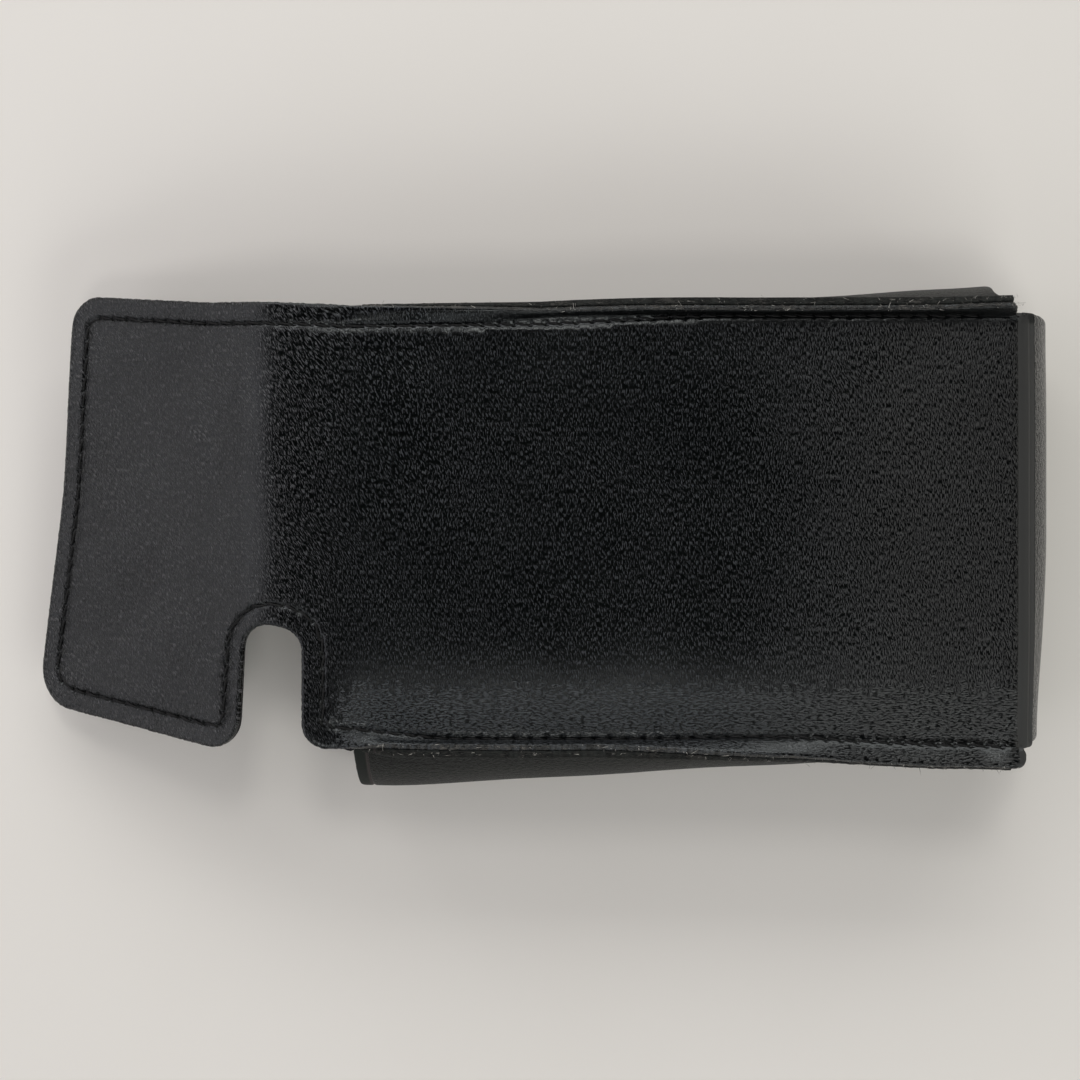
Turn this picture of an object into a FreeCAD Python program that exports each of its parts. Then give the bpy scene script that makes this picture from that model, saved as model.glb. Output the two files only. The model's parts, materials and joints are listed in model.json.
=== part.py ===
import FreeCAD, Part
import math
import os

# Soft leather ever-ready case for a slim compact camera, lying on its front with the flap open.
# +X runs from the mouth to the closed end, +Z out of the back panel, and the origin is the middle
# of the front panel's underside. All sizes are in millimetres.

# Leather, lining and seams
leather_t = 1.2                  # outer leather
lining_t = 0.6                   # bonded suede-cloth lining
lining_margin = 0.8              # back lining stops this far inside the long seams
flange_width = 3.0               # leather left outside a pinched seam
thread_width = 0.6               # waxed thread, pressed flat
thread_depth = 0.3               # how deep the thread lies in its groove
thread_inset = 3.5               # from a raw edge to the stitch line
seam_thread_inset = 1.0          # from the seam valley to the stitch line on the back panel
valley_share = 0.7               # a standing flange's root, as a share of the leather
end_thread_share = 0.7           # end seam's stitch line, as a share of its flange
thread_end_margin = 2.0          # a seam's stitches stop this far from its ends

# Pouch
panel_length = 109.8             # back panel, mouth edge to end fold
panel_width = 70.0               # back panel, between the two long seams
body_height = 26.0               # outer face of the front to outer face of the back, empty
corner_inset = 2.0               # each rolled lower corner starts this far inside its seam
wall_bulge = 5.0                 # how far a side wall's upper half swells outside its seam
wall_bulge_height = 0.73         # height of that swell, as a share of the seam's height
slump_share = 0.6                # how much of the slump the upper half takes up
corner_reach = 8.5               # how far a rolled lower corner reaches past the flat front
corner_lead = 1.0                # flat leather between the front plate and the roll of a corner
flange_root = 2.0                # back leather that belongs to a flange, inside its seam
skew_mouth = -4.7                # the empty pouch has slumped: front against back, at the mouth
skew_end = 2.9                   # and at the closed end
end_bulge = 14.5                 # how far the curve of the empty end wall is pulled outward
end_bulge_height = 0.89          # height of that pull, as a share of the seam's height
end_toe = 3.5                    # the end wall's lower curve leans in from here
end_toe_height = 0.32            # as a share of the seam's height
end_foot = 1.2                   # end wall's seam, outside the end fold
end_fold_lap = 0.2               # the folded strip runs this far into the end wall
end_overhang = 2.0               # end wall past the long seams, at each side
end_fold_gap = 0.6               # from the panel's end to the end wall's inner face
channel_end_gap = 0.5            # side walls stop this far short of the end fold

# Flap
fold_out = 3.0                   # first fold line, outside the mouth edge
fold_clearance = 0.3             # free gap round each fold's roll
bow_start = 8.0                  # straight leather between the first fold and the bow
bow_length = 9.0                 # leather in the bow that rounds the closed end
bow_angle = 25.0                 # degrees
close_gap = 0.4                  # closed flap's lining to the front panel
flap_overrun = 25.0              # the flap's outline runs on inside the pouch, to be cut at the fold
tip_reach_upper = 26.0           # flap tip past the second fold, along its upper edge
tip_reach_lower = 33.5           # and along its lower edge
tip_flare = 4.6                  # the upper edge leans out this much, first fold to tip
tip_taper = 7.5                  # and the lower edge leans in this much
tip_upper_radius = 5.4
tip_lower_radius = 7.2
lower_margin = 2.0               # flap's lower edge outside the lower seam, at the first fold

# Strap notch, open at the flap's lower edge
notch_near = 7.0                 # from the first fold to the notch's straight side
notch_width = 9.4
notch_lean = 2.2                 # the far side leans outward this much towards the mouth
notch_depth_near = 18.8          # up from the lower edge, at each side
notch_depth_far = 21.4
notch_radius = 4.4
notch_lip_radius = 3.4

# Magnetic closure, hidden between leather and lining
magnet_radius = 6.0
magnet_t = 0.8
magnet_in_leather = 0.5          # share of its thickness let into the leather
magnet_from_fold = 17.0          # second fold to the magnet's centre
magnet_y = 2.0
keeper_radius = 8.0
keeper_t = 0.4
pocket_clearance = 0.05

# Places that follow from the sizes above
mouth_x = -panel_length / 2
end_x = panel_length / 2
fold_x = mouth_x - fold_out
seam_y = panel_width / 2
seam_z = body_height - leather_t             # where the back's flesh side meets the channel's
front_half = panel_width / 2 - corner_inset
wall_half = panel_width / 2 + end_overhang
flap_upper_y = seam_y + flange_width
flap_lower_y = -seam_y - lower_margin
tip_upper_y = flap_upper_y + tip_flare
tip_lower_y = flap_lower_y + tip_taper
sheet_t = leather_t + lining_t               # flap thickness
roll = sheet_t / 2
cup = roll + fold_clearance
fold_z = body_height - roll                  # mid-thickness of the flap at its first fold
split = roll - leather_t                     # leather-to-lining face, from mid-thickness
bow = math.radians(bow_angle)
bow_radius = bow_length / bow
half_turn = math.pi / 2 - bow / 2            # how far each fold turns to close the flap
close_drop = fold_z + roll + close_gap       # fall from the first fold to the second, closed
bow_drop = 2 * bow_radius * math.sin(bow / 2)
after_bow = (close_drop - bow_drop) / math.sin(half_turn) - bow_start
slope = (-math.cos(bow), -math.sin(bow))     # run of the flap after the bow, in X and Z
bow_end = (fold_x - bow_start - bow_radius * math.sin(bow),
           fold_z - bow_radius * (1 - math.cos(bow)))
tip_fold = (bow_end[0] + after_bow * slope[0], bow_end[1] + after_bow * slope[1])
span_margin = 10.0                           # cutting solids pass the leather by this much
span_y = 2 * (tip_upper_y + span_margin)     # wider than anything in Y
span_z = 4 * body_height                     # taller than anything in Z

# How steeply the two pinched flanges stand along the pouch: fraction of length, degrees
upper_stand = [(0.0, 20.0), (0.16, 62.0), (0.45, 70.0), (0.75, 70.0), (1.0, 60.0)]
lower_stand = [(0.0, 55.0), (0.16, 70.0), (0.45, 60.0), (0.75, 15.0), (1.0, 0.0)]
# Where a side wall is sampled between its seam and the flat front, as a share of its curve
wall_steps = [0.0, 0.05, 0.17, 0.32, 0.48, 0.64, 0.80, 0.92, 1.0]
end_wall_facets = 8


def vec(x, y, z):
    return FreeCAD.Vector(x, y, z)


def bezier(p0, p1, p2, p3, t):
    """Point on a cubic curve between p0 and p3."""
    weights = ((1 - t) ** 3, 3 * t * (1 - t) ** 2, 3 * t * t * (1 - t), t ** 3)
    return tuple(sum(w * p[i] for w, p in zip(weights, (p0, p1, p2, p3))) for i in (0, 1))


def offset_path(points, distance):
    """The path moved to its left by a distance, mitred at its corners."""
    moved = []
    for i, point in enumerate(points):
        before = points[max(i - 1, 0)]
        after = points[min(i + 1, len(points) - 1)]
        normals = []
        for a, b in ((before, point), (point, after)):
            length = math.hypot(b[0] - a[0], b[1] - a[1])
            if length > 0:
                normals.append(((a[1] - b[1]) / length, (b[0] - a[0]) / length))
        nx = sum(n[0] for n in normals) / len(normals)
        ny = sum(n[1] for n in normals) / len(normals)
        scale = distance / (nx * nx + ny * ny)
        moved.append((point[0] + nx * scale, point[1] + ny * scale))
    return moved


def strip(points, distance):
    """Closed section of a sheet whose one face runs through the points."""
    return points + offset_path(points, distance)[::-1]


def section_at(x, outline):
    """Wire of a Y-Z outline at a place along the pouch."""
    corners = [vec(x, y, z) for y, z in outline]
    return Part.makePolygon(corners + corners[:1])


def loft(stations, outline_at):
    """Solid between equal-sided sections, straight from one station to the next."""
    wires = [section_at(x, outline_at(x)) for x in stations]
    return Part.makeLoft(wires, True, True)


def profile_solid(outline, y0, y1):
    """X-Z outline made solid from y0 to y1."""
    corners = [vec(x, y0, z) for x, z in outline]
    face = Part.Face(Part.makePolygon(corners + corners[:1]))
    return face.extrude(vec(0, y1 - y0, 0))


def block(x0, x1, y0, y1, z0, z1):
    return Part.makeBox(x1 - x0, y1 - y0, z1 - z0, vec(x0, y0, z0))


def roll_at(place, radius):
    """Cylinder along Y on a fold line."""
    return Part.makeCylinder(radius, span_y, vec(place[0], -span_y / 2, place[1]), vec(0, 1, 0))


def rounded_face(corners):
    """Plan face from (x, y, radius) corners, each rounded by its radius."""
    edges = []
    last = None
    count = len(corners)
    for i, (x, y, radius) in enumerate(corners):
        here = vec(x, y, 0)
        back = vec(*corners[i - 1][:2], 0) - here
        ahead = vec(*corners[(i + 1) % count][:2], 0) - here
        back.normalize()
        ahead.normalize()
        half = back.getAngle(ahead) / 2
        reach = radius / math.tan(half)
        start = here + back * reach
        stop = here + ahead * reach
        middle = back + ahead
        middle.normalize()
        middle = here + middle * (radius / math.sin(half) - radius)
        if last is not None:
            edges.append(Part.LineSegment(last, start).toShape())
        else:
            first = start
        if radius > 0:
            edges.append(Part.Arc(start, middle, stop).toShape())
        last = stop
    edges.append(Part.LineSegment(last, first).toShape())
    return Part.Face(Part.Wire(edges))


def stand_at(table, x):
    """Angle of a flange at a place along the pouch, in radians."""
    share = (x - mouth_x) / (end_x - mouth_x)
    share = min(max(share, 0.0), 1.0)
    for (s0, a0), (s1, a1) in zip(table, table[1:]):
        if share <= s1:
            return math.radians(a0 + (a1 - a0) * (share - s0) / (s1 - s0))
    return math.radians(table[-1][1])


def skew_at(x):
    """Sideways slump of the front against the back at a place along the pouch."""
    return skew_mouth + (skew_end - skew_mouth) * (x - mouth_x) / (end_x - mouth_x)


def wall_path(skew, stand):
    """Flesh side of one half of the channel: flange tip, seam, then down to the flat front."""
    tip = (seam_y + flange_width * math.cos(stand), seam_z + flange_width * math.sin(stand))
    top = (seam_y, seam_z)
    high = (seam_y + slump_share * skew + wall_bulge, wall_bulge_height * seam_z)
    low = (skew + front_half + corner_reach, leather_t)
    foot = (skew + front_half + corner_lead, leather_t)
    curve = [bezier(top, high, low, foot, t) for t in wall_steps]
    return [tip] + curve + [(skew + front_half, leather_t)]


def stations_from(x0, x1, table):
    """Ends of the pouch and the places between them where a flange changes its stand."""
    inner = [mouth_x + share * (end_x - mouth_x) for share, angle in table]
    return [x0] + [x for x in inner if x0 + 0.01 < x < x1 - 0.01] + [x1]


def channel_half(side, table, lining):
    """One side wall, with its flange, or the lining inside it."""
    def outline(x):
        path = wall_path(side * skew_at(x), stand_at(table, x))
        if lining:
            section = strip(path[2:], -lining_t)
        else:
            section = strip(path, leather_t)
        return [(side * y, z) for y, z in section]
    return loft(stations_from(mouth_x, end_x - channel_end_gap, table), outline)


def front_plate(z0, z1, x0, x1):
    """Flat front between its rolled corners; it follows the slump of the pouch."""
    plan = [(x0, -front_half), (x1, -front_half), (x1, front_half), (x0, front_half)]
    corners = [vec(x, y + skew_at(x), z0) for x, y in plan]
    face = Part.Face(Part.makePolygon(corners + corners[:1]))
    return face.extrude(vec(0, 0, z1 - z0))


def end_path():
    """Flesh side of the end wall, from the end fold down to the seam at the front."""
    top = (end_x + end_fold_gap, seam_z)
    high = (end_x + end_bulge, end_bulge_height * seam_z)
    low = (end_x + end_toe, end_toe_height * seam_z)
    foot = (end_x + end_foot, leather_t)
    return [bezier(top, high, low, foot, i / end_wall_facets) for i in range(end_wall_facets + 1)]


def back_flange(side, table):
    """The back leather's half of one pinched flange, wrapped round the seam line."""
    def outline(x):
        stand = stand_at(table, x)
        tip = (seam_y + flange_width * math.cos(stand), seam_z + flange_width * math.sin(stand))
        path = [tip, (seam_y, seam_z), (seam_y - flange_root, seam_z)]
        return [(side * y, z) for y, z in strip(path, -leather_t)]
    return loft(stations_from(mouth_x, end_x - channel_end_gap, table), outline)


def flap_outline(shrink):
    """Plan face of the flap; its fourth side lies inside the pouch, past the first fold."""
    upper_x = tip_fold[0] - tip_reach_upper * math.cos(bow)
    lower_x = tip_fold[0] - tip_reach_lower * math.cos(bow)
    near = fold_x - notch_near
    far = near - notch_width
    inner = fold_x + flap_overrun
    face = rounded_face([
        (inner, flap_upper_y, 0),
        (upper_x, tip_upper_y, tip_upper_radius),
        (lower_x, tip_lower_y, tip_lower_radius),
        (far - notch_lean, flap_lower_y, notch_lip_radius),
        (far, flap_lower_y + notch_depth_far, notch_radius),
        (near, flap_lower_y + notch_depth_near, notch_radius),
        (near, flap_lower_y, notch_radius),
        (inner, flap_lower_y, 0),
    ])
    if shrink:
        face = face.makeOffset2D(-shrink)
    return face


def flap_prism(face):
    """Plan face made solid over the whole height."""
    face = face.copy()
    face.translate(vec(0, 0, -span_z / 4))
    return face.extrude(vec(0, 0, span_z))


def wall_layer(low, high):
    """Flap between its two folds, from the first fold's roll: offsets from mid-thickness."""
    centre = (fold_x - bow_start, fold_z - bow_radius)

    def at(offset, angle):
        reach = bow_radius + offset
        return vec(centre[0] - reach * math.sin(angle), 0, centre[1] + reach * math.cos(angle))

    def far_end(offset):
        corner = at(offset, bow)
        return vec(corner.x + after_bow * slope[0], 0, corner.z + after_bow * slope[1])

    outer = at(high, 0)
    inner = at(low, 0)
    wire = Part.Wire([
        Part.LineSegment(vec(fold_x + roll, 0, fold_z + high), outer).toShape(),
        Part.Arc(outer, at(high, bow / 2), at(high, bow)).toShape(),
        Part.LineSegment(at(high, bow), far_end(high)).toShape(),
        Part.LineSegment(far_end(high), far_end(low)).toShape(),
        Part.LineSegment(far_end(low), at(low, bow)).toShape(),
        Part.Arc(at(low, bow), at(low, bow / 2), inner).toShape(),
        Part.LineSegment(inner, vec(fold_x + roll, 0, fold_z + low)).toShape(),
        Part.LineSegment(vec(fold_x + roll, 0, fold_z + low),
                         vec(fold_x + roll, 0, fold_z + high)).toShape(),
    ])
    solid = Part.Face(wire).extrude(vec(0, span_y, 0))
    solid.translate(vec(0, -span_y / 2, 0))
    beyond = block(fold_x - 4 * body_height, fold_x, -span_y, span_y, -span_z, span_z)
    solid = solid.common(beyond.fuse(roll_at((fold_x, fold_z), roll)))
    return solid.cut(roll_at(tip_fold, cup))


def tip_layer(low, high):
    """Flap past its second fold, from that fold's roll: offsets from mid-thickness."""
    reach = max(tip_reach_upper, tip_reach_lower) + roll + span_margin
    normal = (slope[1], -slope[0])
    ends = [(-roll, low), (reach, low), (reach, high), (-roll, high)]
    outline = [(tip_fold[0] + run * slope[0] + lift * normal[0],
                tip_fold[1] + run * slope[1] + lift * normal[1]) for run, lift in ends]
    solid = profile_solid(outline, -span_y / 2, span_y / 2)
    beyond = Part.makeBox(2 * reach, 2 * span_y, 2 * reach, vec(-2 * reach, -span_y, -reach))
    beyond.rotate(vec(0, 0, 0), vec(0, 1, 0), -bow_angle)
    beyond.translate(vec(tip_fold[0], 0, tip_fold[1]))
    return solid.common(beyond.fuse(roll_at(tip_fold, roll)))


def stitch_ring(width):
    """Prism round the flap's stitch line."""
    outer = flap_outline(thread_inset - width / 2)
    inner = flap_outline(thread_inset + width / 2)
    return flap_prism(outer).cut(flap_prism(inner))


def magnet_disc(radius, extra):
    """Disc at the magnet's place in the flap tip, grown by a clearance at both faces."""
    normal = (slope[1], -slope[0])
    base = split - (magnet_t - magnet_in_leather) - extra
    x = tip_fold[0] + magnet_from_fold * slope[0] + base * normal[0]
    z = tip_fold[1] + magnet_from_fold * slope[1] + base * normal[1]
    return Part.makeCylinder(radius, magnet_t + 2 * extra, vec(x, magnet_y, z),
                             vec(normal[0], 0, normal[1]))


def seam_thread(side, width, depth):
    """Run of a long seam's thread beside its valley, on the back panel."""
    y = side * (seam_y - valley_share * leather_t - seam_thread_inset)
    return block(mouth_x, end_x - thread_end_margin, y - width / 2, y + width / 2,
                 body_height - depth, body_height)


def end_thread(width):
    """Run of the end seam's thread, on top of its flange."""
    x = end_x + end_foot + end_thread_share * flange_width
    y0 = skew_at(end_x) - front_half + thread_end_margin
    y1 = skew_at(end_x) + front_half - thread_end_margin
    z = 2 * leather_t
    return block(x - width / 2, x + width / 2, y0, y1, z - thread_depth, z)


def make_back_leather():
    """Back panel and end wall in one piece, with its halves of the two long flanges."""
    half = seam_y - flange_root
    plate = block(fold_x, end_x + end_fold_gap, -half, half, seam_z, body_height)
    lip = block(fold_x, mouth_x, flap_lower_y, flap_upper_y, seam_z, body_height)
    solid = plate.fuse([lip, back_flange(1, upper_stand), back_flange(-1, lower_stand)])
    path = end_path()
    wall = profile_solid(strip(path, leather_t), -wall_half, wall_half)
    wall = wall.cut(block(end_x, end_x + end_bulge, -span_y, span_y, 0, leather_t))
    foot_x = end_x + end_foot
    flange = block(foot_x, foot_x + flange_width, skew_at(end_x) - front_half,
                   skew_at(end_x) + front_half, leather_t, 2 * leather_t)
    fold_stop = end_x + end_fold_gap + end_fold_lap
    fold = block(end_x, fold_stop, -wall_half, wall_half, seam_z, body_height)
    solid = solid.fuse([fold, wall, flange])
    solid = solid.cut(roll_at((fold_x, fold_z), cup))
    for side in (1, -1):
        solid = solid.cut(seam_thread(side, thread_width, thread_depth))
    return solid.cut(end_thread(thread_width))


def make_back_lining():
    """Lining of the back panel and the end wall, cut in one piece."""
    half = seam_y - lining_margin
    plate = block(fold_x, end_x + end_fold_gap, -half, half, seam_z - lining_t, seam_z)
    path = [point for point in end_path() if point[1] > leather_t + 2 * lining_t]   # clears the front
    wall = profile_solid(strip(path, -lining_t), -half, half)
    return plate.fuse(wall).cut(roll_at((fold_x, fold_z), cup))


def make_channel_leather():
    """Front panel and both side walls in one piece, with the channel's three flanges."""
    solid = front_plate(0, leather_t, mouth_x, end_x - channel_end_gap)
    flange = block(end_x - channel_end_gap, end_x + end_foot + flange_width,
                   skew_at(end_x) - front_half, skew_at(end_x) + front_half, 0, leather_t)
    walls = [channel_half(1, upper_stand, False), channel_half(-1, lower_stand, False)]
    return solid.fuse([flange] + walls)


def make_channel_lining():
    """Lining of the front and side walls, with a pocket for the keeper plate."""
    solid = front_plate(leather_t, leather_t + lining_t, mouth_x, end_x - channel_end_gap)
    walls = [channel_half(1, upper_stand, True), channel_half(-1, lower_stand, True)]
    return solid.fuse(walls).cut(keeper_disc(pocket_clearance))


def keeper_disc(extra):
    """Steel disc behind the front leather, where the closed flap's magnet lands."""
    x = fold_x + (after_bow - bow_start) * math.cos(half_turn) + magnet_from_fold
    return Part.makeCylinder(keeper_radius + extra, keeper_t + extra,
                             vec(x, magnet_y, leather_t), vec(0, 0, 1))


def make_thread(layer):
    """Thread pressed into the flap's stitch groove."""
    return stitch_ring(thread_width).common(layer)


nodes = {
    "back_leather": make_back_leather(),
    "back_lining": make_back_lining(),
    "channel_leather": make_channel_leather(),
    "channel_lining": make_channel_lining(),
    "keeper_plate": keeper_disc(0),
    "upper_seam_thread": seam_thread(1, thread_width, thread_depth),
    "lower_seam_thread": seam_thread(-1, thread_width, thread_depth),
    "end_seam_thread": end_thread(thread_width),
}

plan = flap_prism(flap_outline(0))
groove = stitch_ring(thread_width)
for name, layer in (("flap_wall", wall_layer), ("flap_tip", tip_layer)):
    surface = layer(roll - thread_depth, roll)
    nodes[name + "_thread"] = make_thread(surface)
    leather = layer(split, roll).common(plan)
    nodes[name + "_leather"] = leather.cut(groove.common(surface))
    nodes[name + "_lining"] = layer(-roll, split).common(plan)

pocket = magnet_disc(magnet_radius + pocket_clearance, 0)
nodes["flap_tip_leather"] = nodes["flap_tip_leather"].cut(pocket)
nodes["flap_tip_lining"] = nodes["flap_tip_lining"].cut(pocket)
nodes["flap_magnet"] = magnet_disc(magnet_radius, 0)

os.makedirs("parts", exist_ok=True)
for name, shape in nodes.items():
    shape.exportStep("parts/" + name + ".step")
    print(name, "solids", len(shape.Solids), "volume", round(shape.Volume, 1), "valid", shape.isValid(),
          "box", [round(v, 1) for v in (shape.BoundBox.XMin, shape.BoundBox.XMax, shape.BoundBox.YMin,
                                        shape.BoundBox.YMax, shape.BoundBox.ZMin, shape.BoundBox.ZMax)])
print("tip fold", tip_fold, "after bow", after_bow)
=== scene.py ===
import json
import math
import random

import bmesh
import bpy
import numpy as np
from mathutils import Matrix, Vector, geometry, kdtree


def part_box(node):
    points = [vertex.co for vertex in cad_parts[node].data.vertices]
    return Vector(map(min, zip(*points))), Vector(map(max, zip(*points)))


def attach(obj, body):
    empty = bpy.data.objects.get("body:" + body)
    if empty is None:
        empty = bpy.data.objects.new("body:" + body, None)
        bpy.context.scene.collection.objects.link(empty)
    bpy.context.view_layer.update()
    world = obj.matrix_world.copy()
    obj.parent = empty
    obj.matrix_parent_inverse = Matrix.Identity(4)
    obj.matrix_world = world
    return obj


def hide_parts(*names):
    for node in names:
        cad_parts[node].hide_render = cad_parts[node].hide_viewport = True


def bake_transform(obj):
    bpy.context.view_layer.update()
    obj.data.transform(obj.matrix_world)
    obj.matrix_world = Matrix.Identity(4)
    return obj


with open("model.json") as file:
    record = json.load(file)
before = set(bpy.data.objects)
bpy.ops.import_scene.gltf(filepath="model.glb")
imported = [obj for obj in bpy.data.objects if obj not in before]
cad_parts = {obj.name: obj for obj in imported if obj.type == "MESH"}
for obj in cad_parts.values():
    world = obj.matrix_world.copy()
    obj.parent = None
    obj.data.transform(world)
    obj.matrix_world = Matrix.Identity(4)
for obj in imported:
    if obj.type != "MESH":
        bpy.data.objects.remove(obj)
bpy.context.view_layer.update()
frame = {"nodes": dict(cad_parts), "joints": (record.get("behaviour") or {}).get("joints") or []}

# ---------------------------------------------------------------------------------------------
# The hide: one piece of black grained cowhide, 1.2 mm thick, that makes the flap, the back panel
# and the end wall. It is cut from a flat pattern, folded at the closed end along a pressed band,
# pinched and stitched to the channel along both long sides, and bows over the mouth as the flap.
# ---------------------------------------------------------------------------------------------
MM = 0.001
LEATHER = 1.2
LINING = 0.6


def joint_point(name):
    """Where a fold line is, in millimetres, as X and Z."""
    found = next(j for j in frame["joints"] if j["name"] == name)
    return 1000 * found["pos_m"][0], 1000 * found["pos_m"][2]


def side_of(node, corner, axis):
    """One coordinate of a node's lowest (0) or highest (1) corner, in millimetres."""
    return 1000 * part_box(node)[corner][axis]


fold_x, fold_z = joint_point("flap_fold")
tip_fold_x, tip_fold_z = joint_point("tip_fold")
mouth_x = side_of("channel_leather", 0, 0)
end_x = -mouth_x
top_z = side_of("upper_seam_thread", 1, 2)
flesh_z = top_z - LEATHER                    # where the hide's flesh side lies on the lining
lining_margin = 0.8                          # the lining stops this far inside a pinched seam
seam_y = side_of("back_lining", 1, 1) + lining_margin
flange = 3.0                                 # leather outside a pinched seam

bow_start = 8.0                              # first fold to the bow, along the leather
bow_angle = math.radians(25)
bow_length = 9.0
bow_radius = bow_length / bow_angle - 0.3    # of the flesh side
end_tilt = math.tan(math.radians(4.1)) * 0.6  # the slumped front's ends run this far out of square

# The flesh side's run in X and Z, from the end seam's flange up the end wall and out to the tip
foot_x = end_x + 1.2


def curve_points(p0, p1, p2, p3, count):
    """Points of a cubic curve, without its last one."""
    t = np.linspace(0, 1, count, endpoint=False)[:, None]
    p0, p1, p2, p3 = (np.array(p, float) for p in (p0, p1, p2, p3))
    return (1 - t) ** 3 * p0 + 3 * t * (1 - t) ** 2 * p1 + 3 * t * t * (1 - t) * p2 + t ** 3 * p3


def soften(points, passes, keep=None):
    """Rounds the corners of an evenly spaced run; keep marks points that stay."""
    points = points.copy()
    for _ in range(passes):
        middle = 0.25 * points[:-2] + 0.5 * points[1:-1] + 0.25 * points[2:]
        if keep is not None:
            middle = np.where(keep[1:-1, None], points[1:-1], middle)
        points[1:-1] = middle
    return points


def even(points, step):
    """The run resampled at an even step, with its length."""
    gaps = np.hypot(*np.diff(points, axis=0).T)
    run = np.concatenate([[0], np.cumsum(gaps)])
    at = np.linspace(0, run[-1], max(int(run[-1] / step), 2) + 1)
    return np.column_stack([np.interp(at, run, points[:, i]) for i in (0, 1)])


def flesh_run():
    """Places of the flesh side along the hide, and its distance from the first fold there."""
    foot = (foot_x, LEATHER + 0.1)
    fold = (end_x + 2.3, flesh_z - 0.55)
    brow = (end_x - 0.1, flesh_z)
    slope = np.array([-math.cos(bow_angle), -math.sin(bow_angle)])
    angles = np.linspace(0, bow_angle, 40)
    centre = np.array([fold_x - bow_start, flesh_z - bow_radius])
    bow = centre + bow_radius * np.column_stack([-np.sin(angles), np.cos(angles)])
    parts = [
        np.array([[foot_x + flange + 0.4, LEATHER + 0.1], [foot_x + 1.2, LEATHER + 0.1]]),
        curve_points((foot_x + 0.2, LEATHER + 0.9), (end_x + 12.0, 5.0),
                     (end_x + 7.2, flesh_z - 6.0), fold, 60),
        np.array([fold, brow, (fold_x, flesh_z)]),
        bow,
        (bow[-1] + 60 * slope)[None],
    ]
    run = even(np.vstack(parts), 0.2)
    run = soften(run, 6)
    gaps = np.hypot(*np.diff(run, axis=0).T)
    distance = np.concatenate([[0], np.cumsum(gaps)])
    flat = np.abs(run[:, 1] - flesh_z) < 1e-6
    at_fold = np.interp(-fold_x, -run[flat][:, 0], distance[flat])
    return run, distance - at_fold


run_xz, run_s = flesh_run()
run_tangent = np.gradient(run_xz, axis=0)
run_tangent /= np.hypot(*run_tangent.T)[:, None]
end_s = fold_x - end_x                       # the end fold, along the hide
mouth_s = fold_x - mouth_x
band = (end_s - 2.1, end_s - 0.3)            # smooth pressed band beside the end fold
fold_groove = end_s - 2.5
bow_end_x = fold_x - bow_start - bow_radius * math.sin(bow_angle)
tip_s = bow_start + bow_length + (bow_end_x - tip_fold_x) / math.cos(bow_angle)
foot_s = float(run_s[0])


def smooth(x, low, high):
    """Eased step from 0 at low to 1 at high."""
    t = np.clip((x - low) / (high - low), 0, 1)
    return t * t * (3 - 2 * t)


def stand_angle(s, side):
    """How steeply the pinched flange stands, in radians, along the hide; flat on the flap."""
    share = np.clip((mouth_s - s) / (mouth_s - end_s), 0, 1)
    if side > 0:
        table = [(0, 10), (0.1, 26), (0.22, 40), (0.33, 60), (0.47, 76), (0.7, 82), (0.88, 76), (1, 62)]
    else:
        table = [(0, 30), (0.04, 66), (0.12, 78), (0.36, 78), (0.5, 60), (0.62, 36), (0.75, 20), (1, 15)]
    places, degrees = zip(*table)
    angle = np.radians(np.interp(share, places, degrees))
    angle = angle + np.radians(2.5) * np.sin(share * 23 + side) * smooth(share, 0.05, 0.3)
    return angle * (1 - smooth(s, mouth_s + 0.5, mouth_s + 4.5))


def lift(s, y):
    """Rise and fall of the worn hide over its flat pattern, in millimetres."""
    on_pouch = 1 - smooth(s, mouth_s - 2, mouth_s + 10)
    near_end = 1 - smooth(s, end_s, end_s + 6)
    crown = -1.15 * smooth(-y, 12, 35) ** 1.6 - 0.45 * smooth(y, 20, 35)
    crown = crown * on_pouch * (1 - 0.7 * near_end)
    seam = np.where(y > 0, 35.9, 35.2)
    pinch = -0.04 * np.exp(-((np.abs(y) - seam) / 0.8) ** 2) * (1 - smooth(s, mouth_s - 4, mouth_s + 2))
    pinch = pinch * smooth(s, end_s - 0.5, end_s + 1.0)
    wave = (0.16 * np.sin(0.071 * s + 0.9) * np.cos(0.083 * y + 0.4)
            + 0.10 * np.sin(0.16 * s - 0.11 * y + 2.1)
            + 0.06 * np.sin(0.27 * s + 0.21 * y + 0.3))
    wave = wave * smooth(s, end_s + 2, end_s + 14) * (1 - 0.75 * on_pouch * smooth(-y, 8, 24))
    tip = smooth(s, 18, 55)
    curl = -0.1 * tip * smooth(-y, 0, 34) ** 2 + 0.9 * tip * smooth(y, 6, 44) ** 2
    return crown + pinch + wave + curl


valley = LEATHER + 0.3                       # flesh-side radius of a pinched flange's root


def root_at(angle, side):
    """Where a flange leaves the flat hide: a steeper one is pinched nearer the edge."""
    return seam_y - 0.6 + 0.3 * side + (1.2 + 0.2 * side) * smooth(angle, 0.35, 1.3)


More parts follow.
